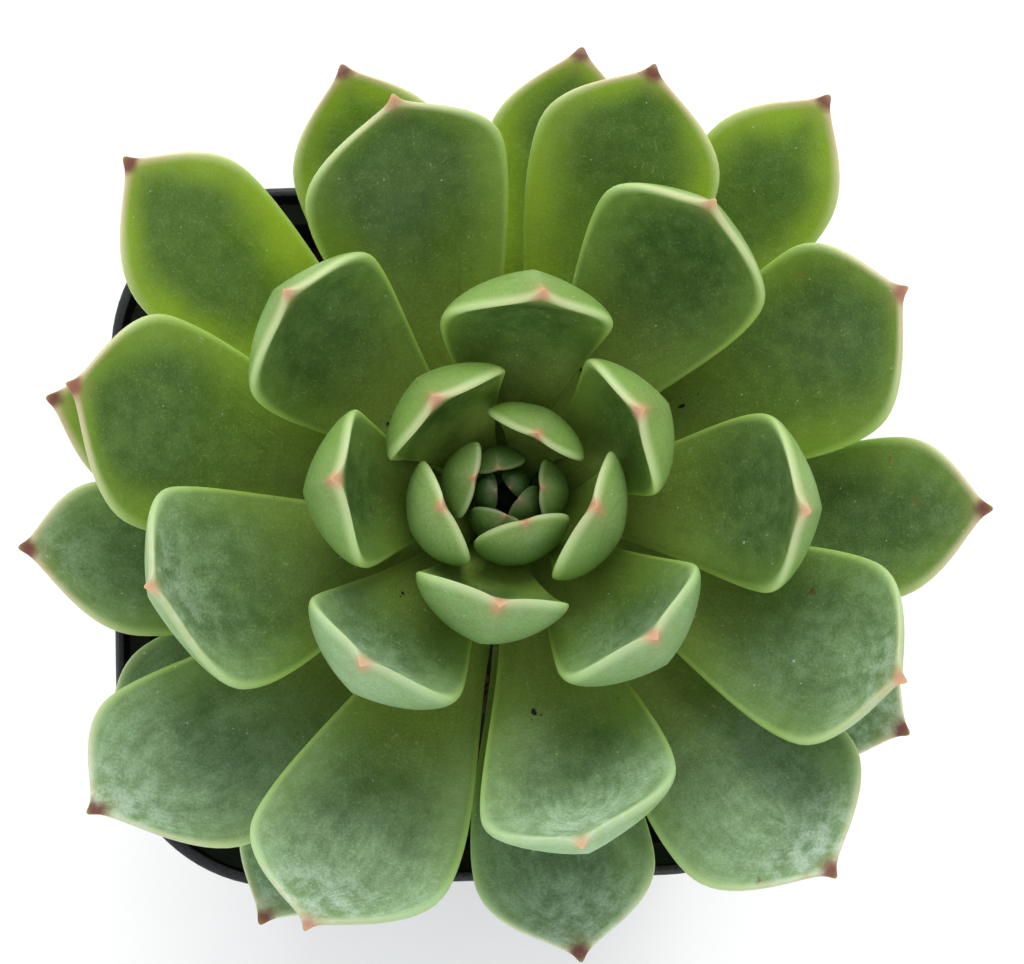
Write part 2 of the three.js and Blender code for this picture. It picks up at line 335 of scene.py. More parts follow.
class Finish:
    """A material and short ways to add its nodes."""

    def __init__(self, name, **shader):
        self.material = bpy.data.materials.new(name)
        self.material.use_nodes = True
        self.tree = self.material.node_tree
        self.shader = self.tree.nodes["Principled BSDF"]
        for socket, value in shader.items():
            self.shader.inputs[socket.replace("_", " ")].default_value = value
        self.place = self.node("ShaderNodeMapping")
        self.place.inputs["Scale"].default_value = (1 / MM,) * 3
        self.join(self.node("ShaderNodeTexCoord").outputs["Object"], self.place.inputs["Vector"])

    def node(self, kind, **settings):
        made = self.tree.nodes.new(kind)
        for key, value in settings.items():
            setattr(made, key, value)
        return made

    def join(self, source, socket):
        if isinstance(source, bpy.types.NodeSocket):
            self.tree.links.new(source, socket)
        else:
            socket.default_value = source

    def sums(self, operation, a, b):
        made = self.node("ShaderNodeMath", operation=operation)
        self.join(a, made.inputs[0])
        self.join(b, made.inputs[1])
        return made.outputs[0]

    def times(self, product, *others):
        for other in others:
            product = self.sums("MULTIPLY", product, other)
        return product

    def plus(self, a, b):
        return self.sums("ADD", a, b)

    def range(self, value, low, high, start=0.0, end=1.0):
        """From start, where the value is low, to end, where it is high, on an even curve."""
        made = self.node("ShaderNodeMapRange", interpolation_type="SMOOTHSTEP")
        self.join(value, made.inputs["Value"])
        for socket, number in (("From Min", low), ("From Max", high), ("To Min", start), ("To Max", end)):
            made.inputs[socket].default_value = number
        return made.outputs["Result"]

    def blend(self, share, a, b):
        """Colour a, with that share of colour b over it."""
        made = self.node("ShaderNodeMix", data_type="RGBA", clamp_factor=True)
        self.join(share, made.inputs["Factor"])
        self.join(a, made.inputs["A"])
        self.join(b, made.inputs["B"])
        return made.outputs["Result"]

    def grain(self, size, detail=2.0, rough=0.5, stretch=None, shift=0.0):
        """Noise whose blotches are about that many millimetres."""
        made = self.node("ShaderNodeTexNoise")
        source = self.place.outputs["Vector"]
        if stretch or shift:
            turned = self.node("ShaderNodeMapping")
            turned.inputs["Scale"].default_value = stretch or (1, 1, 1)
            turned.inputs["Location"].default_value = (shift, shift * 0.7, -shift)
            self.join(source, turned.inputs["Vector"])
            source = turned.outputs["Vector"]
        self.join(source, made.inputs["Vector"])
        made.inputs["Scale"].default_value = 1 / size
        made.inputs["Detail"].default_value = detail
        made.inputs["Roughness"].default_value = rough
        return made.outputs["Fac"]

    def dots(self, spacing, radius, share, shift=0.0):
        """1 inside small round dots, which only a share of the cells have."""
        cells = self.node("ShaderNodeTexVoronoi", feature="F1")
        moved = self.node("ShaderNodeMapping")
        moved.inputs["Location"].default_value = (shift, -shift, shift * 0.3)
        self.join(self.place.outputs["Vector"], moved.inputs["Vector"])
        self.join(moved.outputs["Vector"], cells.inputs["Vector"])
        cells.inputs["Scale"].default_value = 1 / spacing
        near = self.range(cells.outputs["Distance"], radius / spacing, radius * 0.5 / spacing)
        split = self.node("ShaderNodeSeparateColor")
        self.join(cells.outputs["Color"], split.inputs["Color"])
        chosen = self.sums("LESS_THAN", split.outputs["Red"], share)
        return self.times(near, chosen)

    def attribute(self, name):
        """The three colour parts and the alpha of a point attribute."""
        source = self.node("ShaderNodeAttribute", attribute_name=name, attribute_type="GEOMETRY")
        split = self.node("ShaderNodeSeparateColor")
        self.join(source.outputs["Color"], split.inputs["Color"])
        return [split.outputs[c] for c in ("Red", "Green", "Blue")] + [source.outputs["Alpha"]]

    def bump(self, height, distance, strength=1.0, under=None):
        made = self.node("ShaderNodeBump")
        made.inputs["Strength"].default_value = strength
        made.inputs["Distance"].default_value = distance * MM
        self.join(height, made.inputs["Height"])
        if under is not None:
            self.join(under, made.inputs["Normal"])
        return made.outputs["Normal"]

    def done(self, **sockets):
        for socket, source in sockets.items():
            self.join(source, self.shader.inputs[socket.replace("_", " ")])
        return self.material


class LeafSkin(Finish):
    """Waxy green flesh. It reads two attributes that the leaves carry: where on the leaf a point is
    (distance from the margin in mm, share of the length, underside, distance from the tip in mm) and what
    the leaf is like (painted glow of light through it, wax bloom with painted sheen, blush at the tip, age)."""

    def __init__(self):
        super().__init__("leaf_skin", Subsurface_Weight=0.3, Subsurface_Scale=0.002, Specular_IOR_Level=0.33)
        self.shader.inputs["Subsurface Radius"].default_value = (0.7, 1.0, 0.3)
        self.edge, self.along, self.under, self.tip = self.attribute("leaf_place")
        self.sun, self.wax, self.blush, self.old = self.attribute("leaf_tint_and_light")
        self.cloud = self.grain(13, 2, 0.45, shift=3)
        self.mottle = self.grain(2.2, 4, 0.6)
        self.stomata = self.grain(0.3, 2, 0.7)
        self.flow = self.node("ShaderNodeCombineXYZ")
        for axis, source, scale in (("X", self.edge, 1.1), ("Y", self.along, 7), ("Z", self.old, 90)):
            self.join(self.times(source, scale), self.flow.inputs[axis])
        self.streak = self.streaks(1.3, 3)

    def streaks(self, scale, detail):
        """Noise that is drawn out along the leaf and differs from leaf to leaf."""
        made = self.node("ShaderNodeTexNoise")
        self.join(self.flow.outputs["Vector"], made.inputs["Vector"])
        made.inputs["Scale"].default_value = scale
        made.inputs["Detail"].default_value = detail
        return made.outputs["Fac"]

    def flesh(self):
        """The upper face is light near the stem and deep green further out. The underside is paler."""
        deep = self.blend(self.range(self.cloud, 0.35, 0.68), tone(50, 80, 17), tone(68, 98, 25))
        # Painted shade: the deep green darkens on the leaves that point to the back, away from the bloom side.
        deep = self.blend(self.range(self.wax, 0.5, 0.1, 0, 0.34), deep, tone(36, 64, 12))
        face = self.blend(self.range(self.along, 0.72, 0.14), deep, tone(140, 163, 68))
        patchy = self.plus(self.cloud, self.times(self.edge, 0.02))
        # Painted glow: the old leaves at the back turn yellow in patches, as if light shone through them.
        lit = self.times(self.sun, self.range(patchy, 0.35, 0.75, 1, 0.3))
        face = self.blend(lit, face, tone(112, 150, 4))
        back = self.blend(self.range(self.cloud, 0.3, 0.7), tone(104, 140, 64), tone(128, 160, 84))
        skin = self.blend(self.under, face, back)
        skin = self.blend(self.range(self.mottle, 0.35, 0.7, 0, 0.2), skin, tone(124, 154, 66))
        skin = self.blend(self.range(self.streak, 0.5, 0.75, 0, 0.22), skin, tone(46, 76, 22))
        skin = self.blend(self.range(self.stomata, 0.58, 0.32, 0, 0.2), skin, tone(38, 64, 18))
        return self.blend(self.range(self.stomata, 0.58, 0.78, 0, 0.3), skin, tone(172, 196, 128))

    def margin(self):
        """The soft line of the margin, which is wider towards the tip."""
        span = self.range(self.along, 0.55, 0.98, 0.9, 1.9)
        return self.range(self.sums("DIVIDE", self.edge, span), 1.0, 0.05)

    def edged(self, skin, margin):
        """A painted glow near the edge, as of light shining through it, then the pale margin, creamier towards
        the tip of an old leaf. Painted shade makes the youngest leaves, deep in the heart, dark all over."""
        # Painted glow near the margin, as of light shining through the thin edge, strongest on old back
        # leaves.
        halo = self.range(self.plus(self.edge, self.times(self.cloud, 6)), 10.0, 2.5)
        reach = self.range(self.along, 0.2, 0.7, 0.25, 1)
        glow = self.blend(self.sun, tone(128, 162, 62), tone(174, 202, 38))
        skin = self.blend(self.times(halo, reach, self.range(self.sun, 0, 0.7, 0.4, 0.62)), skin, glow)
        cream = self.blend(self.range(self.old, 0.45, 0.8), tone(188, 210, 150), tone(218, 206, 172))
        pale = self.blend(self.range(self.along, 0.7, 0.96), tone(160, 190, 88), cream)
        rosy = self.times(self.range(self.along, 0.86, 0.98), self.blush)
        pale = self.blend(rosy, pale, tone(206, 164, 148))
        skin = self.blend(self.times(margin, reach, 0.78), skin, pale)
        # Painted shade: the youngest leaves in the heart are darkened nearly to black-green.
        return self.blend(self.range(self.old, 0.22, 0.0, 0, 0.87), skin, tone(18, 56, 5))

    def bloom_and_sheen(self):
        """Wax bloom with painted sheen lies towards the outer end and thins out inwards, with a granular edge.
        """
        blotched = self.plus(self.along, self.times(self.plus(self.cloud, -0.5), 0.5))
        return self.times(
            self.range(blotched, 0.44, 1.0),
            self.range(self.mottle, 0.25, 0.7, 0.65, 1.1),
            self.range(self.streak, 0.3, 0.7, 0.75, 1.1),
            self.range(self.stomata, 0.3, 0.65, 0.7, 1.1),
            self.wax,
        )

    def waxed(self, skin, bloom_and_sheen):
        """The bloom with its painted sheen, and a whiter powder near the tips of the older leaves."""
        skin = self.blend(self.times(bloom_and_sheen, 0.8), skin, tone(160, 192, 156))
        powder = self.times(
            self.range(self.plus(self.tip, self.times(self.cloud, 9)), 17, 8),
            self.range(self.mottle, 0.38, 0.66),
            self.range(self.stomata, 0.25, 0.6, 0.4, 1),
            self.range(self.wax, 0.1, 0.8),
            self.range(self.old, 0.36, 0.56),
            self.range(self.under, 0, 1, 0.5, 0.12),
        )
        return self.blend(powder, skin, tone(206, 220, 210))

    def blushed(self, skin):
        """Blush round the tip and the nib, salmon on young leaves and red-brown on old ones."""
        flush = self.times(self.range(self.plus(self.tip, self.times(self.mottle, 4)), 7.0, 2.0), self.blush)
        skin = self.blend(self.times(flush, 0.5), skin, tone(176, 150, 112))
        aged = self.range(self.old, 0.5, 0.68)
        far = self.plus(self.plus(self.tip, self.times(aged, -0.7)), self.times(self.mottle, 1.4))
        red = self.blend(aged, tone(206, 134, 114), tone(100, 38, 40))
        strong = self.times(self.range(aged, 0, 1, 0.68, 0.92), self.range(self.old, 0, 0.18, 0.3, 1))
        return self.blend(self.times(self.range(far, 2.5, 0.9), strong), skin, red)

    def scarred(self, skin, scars):
        """Old marks with a ragged edge. Scars are (place, radius, colour)."""
        for place, radius, colour in scars:
            away = self.node("ShaderNodeVectorMath", operation="DISTANCE")
            self.join(self.place.outputs["Vector"], away.inputs[0])
            away.inputs[1].default_value = place
            ragged = self.plus(away.outputs["Value"], self.times(self.stomata, radius * 2.4))
            inside = self.range(ragged, radius * 2.4, radius * 1.3)
            skin = self.blend(self.times(inside, 0.75), skin, colour)
        return skin

    def speckled(self, skin):
        """Places where the bloom was rubbed, dots of wax, and dark specks of dirt."""
        rubbed = self.times(self.range(self.streaks(3.6, 2), 0.66, 0.78), self.range(self.mottle, 0.52, 0.64))
        skin = self.blend(self.times(rubbed, 0.4), skin, tone(196, 212, 180))
        wax_dots = self.plus(self.dots(1.7, 0.13, 0.3), self.dots(5.3, 0.24, 0.25, shift=4))
        skin = self.blend(self.times(wax_dots, 0.5), skin, tone(214, 226, 206))
        inwards = self.range(self.plus(self.along, self.under), 0.8, 0.35, 0.25, 1)
        specks = self.times(self.dots(2.4, 0.14, 0.4, shift=9), inwards)
        return self.blend(self.times(specks, 0.85), skin, tone(24, 28, 14))

    def painted(self, scars):
        margin, bloom_and_sheen = self.margin(), self.bloom_and_sheen()
        skin = self.edged(self.flesh(), margin)
        skin = self.blushed(self.waxed(skin, bloom_and_sheen))
        skin = self.speckled(self.scarred(skin, scars))
        rough = self.plus(self.range(bloom_and_sheen, 0, 0.8, 0.4, 0.62), self.times(self.stomata, 0.12))
        rough = self.plus(rough, self.times(margin, -0.1))
        relief = self.bump(self.stomata, 0.07, 0.6)
        relief = self.bump(self.mottle, 0.2, 0.5, under=relief)
        return self.done(Base_Color=skin, Roughness=rough, Normal=relief)


def pot_plastic():
    """Thin black moulded plastic, a little dusty and scuffed along the rim and the foot."""
    f = Finish("black_plastic", Specular_IOR_Level=0.32)
    split = f.node("ShaderNodeSeparateXYZ")
    f.join(f.place.outputs["Vector"], split.inputs["Vector"])
    height = split.outputs["Z"]
    cloud = f.grain(14, 4, 0.6)
    fine = f.grain(0.5, 2, 0.6)
    streak = f.grain(3, 4, 0.6, stretch=(1, 1, 0.08))
    skin = f.blend(f.range(cloud, 0.35, 0.7), tone(8, 10, 12), tone(16, 18, 21))
    dust = f.times(f.range(streak, 0.52, 0.75), f.range(height, 60, 4, 0.25, 1))
    skin = f.blend(f.times(dust, 0.3), skin, tone(92, 86, 78))
    scuff = f.times(f.range(height, 79.0, 79.95), f.range(fine, 0.35, 0.65, 0.35, 1))
    skin = f.blend(f.times(scuff, 0.25), skin, tone(72, 75, 80))
    rough = f.plus(f.range(cloud, 0.3, 0.7, 0.38, 0.52), f.times(dust, 0.25))
    relief = f.bump(fine, 0.05, 0.5)
    relief = f.bump(streak, 0.1, 0.25, under=relief)
    return f.done(Base_Color=skin, Roughness=rough, Normal=relief)


def damp_mix():
    """Peat and fine bark."""
    f = Finish("damp_peat", Specular_IOR_Level=0.3)
    lump = f.grain(2.4, 5, 0.65)
    fine = f.grain(0.6, 3, 0.7)
    skin = f.blend(f.range(lump, 0.35, 0.7), tone(21, 16, 12), tone(56, 42, 31))
    skin = f.blend(f.range(fine, 0.6, 0.8, 0, 0.5), skin, tone(92, 72, 52))
    rough = f.range(fine, 0.2, 0.8, 0.75, 0.98)
    relief = f.bump(fine, 0.35, 0.9)
    relief = f.bump(lump, 0.9, 0.8, under=relief)
    return f.done(Base_Color=skin, Roughness=rough, Normal=relief)


def bark_bits():
    f = Finish("bark_bits", Specular_IOR_Level=0.3)
    kind = f.grain(3.2, 1, 0.4, shift=5)
    fibre = f.grain(0.5, 3, 0.7, stretch=(1, 1, 0.3))
    skin = f.blend(f.range(kind, 0.35, 0.65), tone(38, 26, 18), tone(86, 60, 40))
    skin = f.blend(f.range(fibre, 0.5, 0.8, 0, 0.55), skin, tone(122, 94, 66))
    rough = f.range(fibre, 0.2, 0.8, 0.7, 0.95)
    return f.done(Base_Color=skin, Roughness=rough, Normal=f.bump(fibre, 0.3, 0.8))


def stem_bark():
    """A short pale stem, green near the leaves and corky towards the mix, with painted shade inside the heart.
    """
    f = Finish("stem_bark", Specular_IOR_Level=0.35)
    split = f.node("ShaderNodeSeparateXYZ")
    f.join(f.place.outputs["Vector"], split.inputs["Vector"])
    cork = f.grain(1.6, 4, 0.65)
    fine = f.grain(0.4, 3, 0.7)
    skin = f.blend(f.range(split.outputs["Z"], 69, 77), tone(122, 104, 76), tone(136, 148, 86))
    skin = f.blend(f.range(cork, 0.5, 0.75, 0, 0.7), skin, tone(98, 78, 56))
    skin = f.blend(f.range(fine, 0.55, 0.8, 0, 0.4), skin, tone(176, 160, 128))
    # Painted shade: the stem darkens inside the heart of the rosette.
    skin = f.blend(f.range(split.outputs["Z"], 92, 100), skin, tone(28, 40, 20))
    rough = f.range(cork, 0.3, 0.7, 0.6, 0.85)
    relief = f.bump(fine, 0.12, 0.6)
    relief = f.bump(cork, 0.35, 0.7, under=relief)
    return f.done(Base_Color=skin, Roughness=rough, Normal=relief)


def floor_paper():
    f = Finish("floor_paper", Specular_IOR_Level=0.2)
    cloud = f.grain(180, 2, 0.5)
    skin = f.blend(f.range(cloud, 0.3, 0.7), tone(251, 251, 250), tone(254, 254, 253))
    rough = f.range(f.grain(1.2, 2), 0.3, 0.7, 0.85, 0.95)
    return f.done(Base_Color=skin, Roughness=rough)


# ---- the pot and its mix ------------------------------------------------------------------------

RIM_HALF = POT["side"] / 2
CORNER_SHARE = POT["corner_radius"] / RIM_HALF
BAND_FOOT = POT["height"] - POT["rim_depth"]
FLOOR_TOP = POT["floor"] + POT["groove_depth"]
SOIL_TOP = POT["height"] - SOIL["below_rim"]


def square_outline(steps):
    """Outline of a square with round corners whose half side is 1."""
    points = []
    for corner in range(4):
        for step in range(steps + 1):
            turn = step / steps * math.pi / 2
            point = Vector((math.cos(turn), math.sin(turn))) * CORNER_SHARE
            point += Vector((1 - CORNER_SHARE, 1 - CORNER_SHARE))
            quarter = Matrix.Rotation(corner * math.pi / 2, 2)
            points.append(quarter @ point)
    return points


def square_body(profile, steps):
    """Spins a profile of (half side, height) and squares its section."""
    outline = square_outline(steps)
    bm = spun(profile, len(outline))
    for v in bm.verts:
        half = math.hypot(v.co.x, v.co.y)
        turn = math.atan2(v.co.y, v.co.x) % math.tau
        place = outline[round(turn / math.tau * len(outline)) % len(outline)]
        v.co.x, v.co.y = place.x * half, place.y * half
    bmesh.ops.remove_doubles(bm, verts=bm.verts, dist=MERGE)
    bmesh.ops.recalc_face_normals(bm, faces=bm.faces)
    return bm


def wall_at(z):
    """Half the width over the tapered wall, at a height."""
    foot = POT["base_side"] / 2
    return foot + (RIM_HALF - POT["rim_reach"] - foot) * z / POT["height"]


def pot_bmesh():
    """The pot's section, from the middle of the underside over the band and the rim to the inside floor."""
    groove_in = POT["groove_radius"] - POT["groove_width"] / 2
    groove_out = POT["groove_radius"] + POT["groove_width"] / 2
    depth, wall, height = POT["groove_depth"], POT["wall"], POT["height"]
    shelf = BAND_FOOT + wall
    bm = square_body(
        [
            (0, 0),
            (groove_in, 0),
            (groove_in + depth, depth),
            (groove_out - depth, depth),
            (groove_out, 0),
            (wall_at(0) - POT["foot_round"], 0),
            (wall_at(POT["foot_round"]), POT["foot_round"]),
            (wall_at(BAND_FOOT), BAND_FOOT),
            (RIM_HALF, BAND_FOOT),
            (RIM_HALF, height - POT["rim_slant"]),
            (RIM_HALF - POT["rim_slant"], height),
            (RIM_HALF - wall, height),
            (RIM_HALF - wall, shelf),
            (wall_at(shelf) - wall, shelf),
            (wall_at(FLOOR_TOP) - wall, FLOOR_TOP),
            (0, FLOOR_TOP),
        ],
        POT["corner_steps"],
    )
    corners = [e for e in bm.edges if len(e.link_faces) == 2 and e.calc_face_angle() > math.radians(24)]
    bmesh.ops.bevel(
        bm,
        geom=corners,
        offset=POT["edge_round"],
        segments=2,
        profile=0.5,
        affect="EDGES",
        material=-1,
    )
    return bm


def drain_holes(pot):
    """Cuts the holes through the floor of the pot along the groove."""
    mid_side = Vector((1, 0))
    corner_at = 1 - CORNER_SHARE + CORNER_SHARE * math.sqrt(0.5)
    cutters = bmesh.new()
    for i in range(POT["drain_count"]):
        place = (mid_side, Vector((corner_at, corner_at)))[i % 2] * POT["groove_radius"]
        place = Matrix.Rotation(i // 2 * math.pi / 2, 2) @ place
        bmesh.ops.create_cone(
            cutters,
            cap_ends=True,
            segments=32,
            radius1=POT["drain_radius"] * MM,
            radius2=POT["drain_radius"] * MM,
            depth=3 * FLOOR_TOP * MM,
            matrix=Matrix.Translation((place.x * MM, place.y * MM, 0)),
        )
    mesh = bpy.data.meshes.new("drain_cutters")
    cutters.to_mesh(mesh)
    cutters.free()
    cutter = bpy.data.objects.new("drain_cutters", mesh)
    bpy.context.scene.collection.objects.link(cutter)
    cut = pot.modifiers.new("drain_holes", "BOOLEAN")
    cut.object, cut.operation, cut.solver = cutter, "DIFFERENCE", "EXACT"
    bpy.context.view_layer.update()
    drilled = bpy.data.meshes.new_from_object(pot.evaluated_get(bpy.context.evaluated_depsgraph_get()))
    pot.modifiers.clear()
    pot.data = drilled
    bpy.data.objects.remove(cutter)


def build_pot():
    pot = finished(pot_bmesh(), "nursery_pot", pot_plastic(), ["pot"])
    drain_holes(pot)
    smoothed(pot.data, 35)


def mix_height(x, y):
    """Height of the mix over a place: a low mound with lumps."""
    out = max(abs(x), abs(y)) / (wall_at(SOIL_TOP) - POT["wall"])
    mound = SOIL["mound"] * smooth(out, 1, 0)
    lumps = noise.fractal(Vector((x, y, 4)) / SOIL["lump_size"], 0.8, 2.1, 4) * SOIL["lump_height"]
    return SOIL_TOP + mound + lumps * smooth(out, 1, 0.85)


def build_mix(peat):
    bottom = FLOOR_TOP + CLEARANCE
    inner = POT["wall"] + CLEARANCE
    side = wall_at(SOIL_TOP) - inner
    rings = 40
    profile = [(0, bottom), (wall_at(bottom) - inner, bottom)]
    profile += [(side * (1 - i / rings), SOIL_TOP) for i in range(rings + 1)]
    bm = square_body(profile, 20)
    for v in bm.verts:
        if v.co.z > SOIL_TOP - 1:
            v.co.z = mix_height(v.co.x, v.co.y)
    finished(bm, "peat_mix", peat, ["potting_mix"], sharp=60)


def build_chips():
    """Small bark chips that lie on the mix, clear of the stem and the wall."""
    draw = random.Random(11)
    bm = bmesh.new()
    reach = wall_at(SOIL_TOP) - POT["wall"] - CHIPS["apart"]
    left = CHIPS["count"]
    while left:
        x, y = draw.uniform(-reach, reach), draw.uniform(-reach, reach)
        from_stem = math.hypot(x - PLANT["x"], y - PLANT["y"]) - PLANT["neck_radius"]
        if from_stem < CHIPS["apart"] or math.hypot(x, y) > reach * CHIPS["corner"]:
            continue
        size = draw.uniform(*CHIPS["size"])
        flat = draw.uniform(*CHIPS["flatness"])
        turn = Matrix.Rotation(draw.uniform(0, math.tau), 4, "Z")
        turn @= Matrix.Rotation(draw.uniform(-CHIPS["tilt"], CHIPS["tilt"]), 4, "X")
        spot = Matrix.Translation((x, y, mix_height(x, y) + CHIPS["lift"] * size * flat))
        stretch = Matrix.Diagonal((size * draw.uniform(*CHIPS["stretch"]), size, size * flat, 1))
        rough_lump(bm, size, spot @ turn, stretch, draw)
        left -= 1
    finished(bm, "bark_chips", bark_bits(), sharp=20)


# ---- the stem -----------------------------------------------------------------------------------


def seat_heights():
    """Height of each leaf's seat, from the oldest leaf up."""
    heights = {}
    z = POT["height"] + PLANT["lowest_leaf"]
    for age in range(OLDEST, -1, -1):
        heights[age] = z
        z += at_age(RISE, age)
    return heights


SEATS = seat_heights()
STEM_FOOT = SOIL_TOP + SOIL["mound"] - PLANT["root_depth"]
NECK = SEATS[OLDEST] - PLANT["neck_below"]
CROWN = SEATS[0] + PLANT["crown_above"]


def stem_radius(z):
    """The root swells up to the neck, and from there the stem tapers to the crown."""
    if z <= NECK:
        share = max(0, (z - STEM_FOOT) / (NECK - STEM_FOOT))
        return PLANT["root_tip"] + (PLANT["neck_radius"] - PLANT["root_tip"]) * math.sqrt(share)
    share = min(1, (z - NECK) / (CROWN - NECK))
    narrowed = 1 - share ** PLANT["taper"]
    return PLANT["crown_radius"] + (PLANT["neck_radius"] - PLANT["crown_radius"]) * narrowed


def scar_swell(aside, above):
    """How far a leaf scar lifts the bark at a place beside and above its middle."""
    far = math.hypot(aside / STEM_SCARS["half_width"], above / STEM_SCARS["half_height"])
    rim = STEM_SCARS["rim"] * math.exp(-((far - STEM_SCARS["rim_at"]) ** 2) / STEM_SCARS["rim_spread"])
    return rim - STEM_SCARS["dip"] * math.exp(-(far**2) / STEM_SCARS["dip_spread"])


def build_stem():
    """The stem, with the scars that fallen leaves left below the oldest leaf, on the same spiral."""
    rows = 120
    heights = [STEM_FOOT + (CROWN - STEM_FOOT) * i / rows for i in range(rows + 1)]
    profile = [(0, STEM_FOOT)] + [(stem_radius(z), z) for z in heights] + [(0, CROWN + PLANT["crown_dome"])]
    bm = spun(profile, 48)
    bmesh.ops.remove_doubles(bm, verts=bm.verts, dist=MERGE)
    scars = []
    for past in range(1, STEM_SCARS["count"] + 1):
        turn = math.radians(FIRST_AZIMUTH + DIVERGENCE * (OLDEST + past))
        scars.append((turn, SEATS[OLDEST] - at_age(RISE, OLDEST) * past))
    for v in bm.verts:
        radius = math.hypot(v.co.x, v.co.y)
        if radius < 0.1:
            continue
        turn = math.atan2(v.co.y, v.co.x)
        swell = sum(scar_swell(math.remainder(turn - at, math.tau) * radius, v.co.z - z) for at, z in scars)
        swell += STEM_BARK["relief"] * noise.noise(v.co / STEM_BARK["grain"])
        v.co.x *= 1 + swell / radius
        v.co.y *= 1 + swell / radius
    bmesh.ops.translate(bm, vec=(PLANT["x"], PLANT["y"], 0), verts=bm.verts)
    finished(bm, "short_stem", stem_bark(), ["stem"], sharp=60)


# ---- a leaf -------------------------------------------------------------------------------------


def outline_at(u):
    """How wide a leaf is along its length, as a share of its full width."""
    widest = LEAF["widest"]
    if u > widest:
        return closing(u, widest, FLESH["point"])
    seat = LEAF["seat_width"]
    return seat + (1 - seat) * math.sin(math.pi / 2 * (u / widest) ** LEAF["flare"])


def thickness_at(u):
    """How thick a leaf is along its length, as a share of its full thickness."""
    thickest = LEAF["thickest"]
    if u > thickest:
        return closing(u, thickest, LEAF["tip_thinning"])
    seat = LEAF["seat_thickness"]
    return seat + (1 - seat) * math.sin(math.pi / 2 * u / thickest)


class Leaf:
    """One leaf's form: where a point of its skin lies, given the share of the length, and the place round
    its section as across (-1 and 1 are the margins) and lift (above 0 on the upper face)."""

    STEPS = 200

    def __init__(self, age):
        turn, reach, width, lean = LEAVES[age]
        self.age, self.width, self.lean = age, width, lean
        self.small = min(1, width / 16)
        self.azimuth = math.radians(FIRST_AZIMUTH + DIVERGENCE * age + turn)
        self.seat_z = SEATS[age]
        self.seat_r = stem_radius(self.seat_z) + CLEARANCE
        self.thick, self.cup = at_age(THICK, age), at_age(CUP, age)
        self.curl, self.bend = math.radians(at_age(CURL, age)), at_age(BEND, age)
        out, up = reach - self.seat_r, POT["height"] + at_age(TIP, age) - self.seat_z
        line = [Vector((0, 0))]
        for i in range(self.STEPS):
            slope = self.curve((i + 0.5) / self.STEPS)
            line.append(line[-1] + Vector((math.cos(slope), math.sin(slope))) / self.STEPS)
        chord = line[-1]
        self.tilt = math.atan2(up, out) - math.atan2(chord.y, chord.x)
        self.length = math.hypot(up, out) / chord.length
        turned = Matrix.Rotation(self.tilt, 2)
        self.line = [turned @ (point * self.length) for point in line]

    def curve(self, u):
        """How far the leaf has curled up at a share of its length."""
        return self.curl * smooth(u, self.bend, 1)

    def middle(self, u):
        """A point of the middle line, as (outwards, up) from the seat."""
        at = u * self.STEPS
        i = min(self.STEPS - 1, int(at))
        return self.line[i].lerp(self.line[i + 1], at - i)

    def half_at(self, u):
        """Half width, with the blunt nib at the end."""
        half = self.width / 2 * outline_at(u)
        radius = (FLESH["nib_radius"] + FLESH["nib_growth"] * self.age / OLDEST) * self.small
        end = min(1, (1 - u) * self.length / FLESH["nib_length"])
        nib = radius * math.sqrt(max(0, 1 - (1 - end) ** 2))
        return (half**3 + nib**3) ** (1 / 3)

    def point(self, u, across, lift, pole=False):
        middle = self.middle(u)
        slope = self.tilt + self.curve(u)
        half = self.half_at(u)
        depth = self.thick * thickness_at(u)
        edge_rise = self.cup * min(1, u / LEAF["widest"]) * outline_at(u)
        drift = self.lean * u**3
        if pole:
            side, off = drift, 0
        else:
            side = half * across + drift
            if lift > 0:
                rise = LEAF["face_rise"] * depth + FLESH["margin_rise"] * smooth(half, 0, 2)
                steep = math.sqrt(FLESH["margin_radius"] * half)
                bulge = rise * math.tanh(steep * lift / max(rise, 1e-3))
            else:
                keel = FLESH["keel"] * smooth(u, FLESH["keel_from"], 1)
                bulge = -depth * ((1 - keel) * -lift + keel * (1 - abs(across)) ** 0.9)
            off = edge_rise * across**2 + bulge
            plump = smooth(half, 1, 5) * smooth(u, 0.1, 0.4) * (1 - across**4)
            # Each leaf, and each face of it, reads its own slice of the noise.
            where = Vector((u * self.length, side, 37 * self.age + (5 if lift > 0 else 0)))
            off += FLESH["dent"] * plump * noise.noise(where / FLESH["dent_size"])
            to_tip = (1 - u) * self.length / FLESH["hook_length"] / self.small
            off += FLESH["hook"] * self.small * to_tip * math.exp(1 - to_tip)
        radial = self.seat_r + middle.x - off * math.sin(slope)
        radial -= FLESH["foot_reach"] * (1 - smooth(u, 0, 0.08))
        c, s = math.cos(self.azimuth), math.sin(self.azimuth)
        return Vector(
            (
                PLANT["x"] + radial * c - side * s,
                PLANT["y"] + radial * s + side * c,
                self.seat_z + middle.y + off * math.cos(slope),
            )
        )


def leaf_tint_and_light(leaf, draw):
    """Painted back glow, wax bloom, blush at the tip and age, from the leaf's age and where it points. Bloom
    is strongest on the front left, with painted sheen there, and a painted yellow glow of light shining
    through marks the old leaves at the back."""
    old = leaf.age / OLDEST
    bloom_and_sheen_facing = math.cos(leaf.azimuth - math.radians(BLOOM_AND_SHEEN_SIDE))
    # Painted glow of light shining through the old leaves that point to the back.
    sun = smooth(old, 0.45, 0.75) * smooth(math.sin(leaf.azimuth), -0.6, 0.9)
    # Real wax bloom, with painted sheen, strongest on the leaves that point to the front left.
    wax = smooth(old, 0.1, 0.5) * (0.08 + 0.92 * smooth(bloom_and_sheen_facing, -0.3, 1.0))
    blush = 0.3 + 0.6 * smooth(old, 0.4, 0.9)
    return (sun * draw.uniform(0.8, 1), wax * draw.uniform(0.85, 1), blush * draw.uniform(0.7, 1.2), old)


